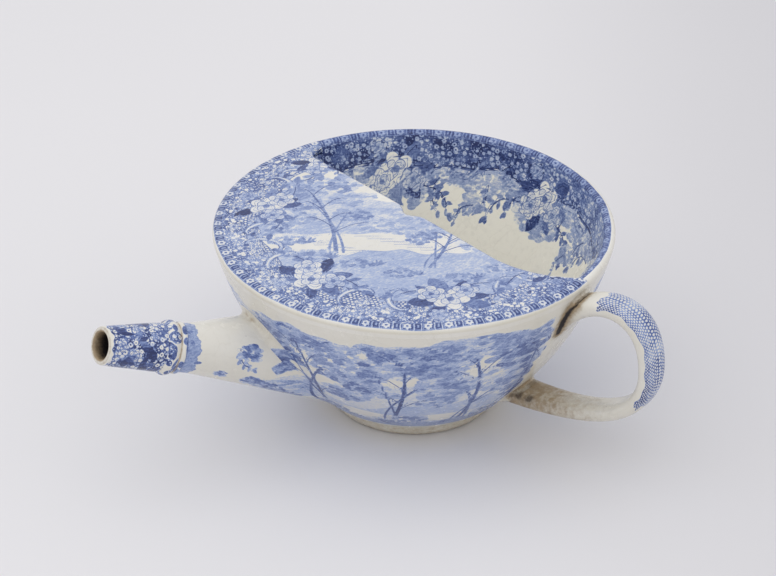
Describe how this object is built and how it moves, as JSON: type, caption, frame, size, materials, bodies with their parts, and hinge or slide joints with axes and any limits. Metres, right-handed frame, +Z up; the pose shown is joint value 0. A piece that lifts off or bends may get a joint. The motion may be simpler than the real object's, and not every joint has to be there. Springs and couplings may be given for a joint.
{
  "type": "invalid feeder",
  "caption": "Invalid feeder: footed glazed earthenware bowl with a half cover over the spout side, a tapering drinking spout with a beaded collar and a strap handle.",
  "frame": {"origin": "centre of the foot ring's standing face, on the bowl's axis", "axes": "+Z up along the bowl's axis, -X the way the spout points, the handle on the -Y side"},
  "size_m": [0.1526, 0.1293, 0.0552],
  "materials": {
    "printed_ware": "glossy clear glaze over a blue transfer print on a cream body",
    "plain_ware": "glossy clear glaze on a cream body, stained at the joints"
  },
  "bodies": {
    "root": {"bowl": "printed_ware", "foot_ring": "plain_ware", "half_cover": "printed_ware", "spout_tube": "printed_ware", "spout_collar": "printed_ware", "mouthpiece": "printed_ware", "spout_lute": "plain_ware", "handle_strap": "printed_ware", "handle_top_lute": "plain_ware", "handle_low_lute": "plain_ware"}
  },
  "joints": []
}
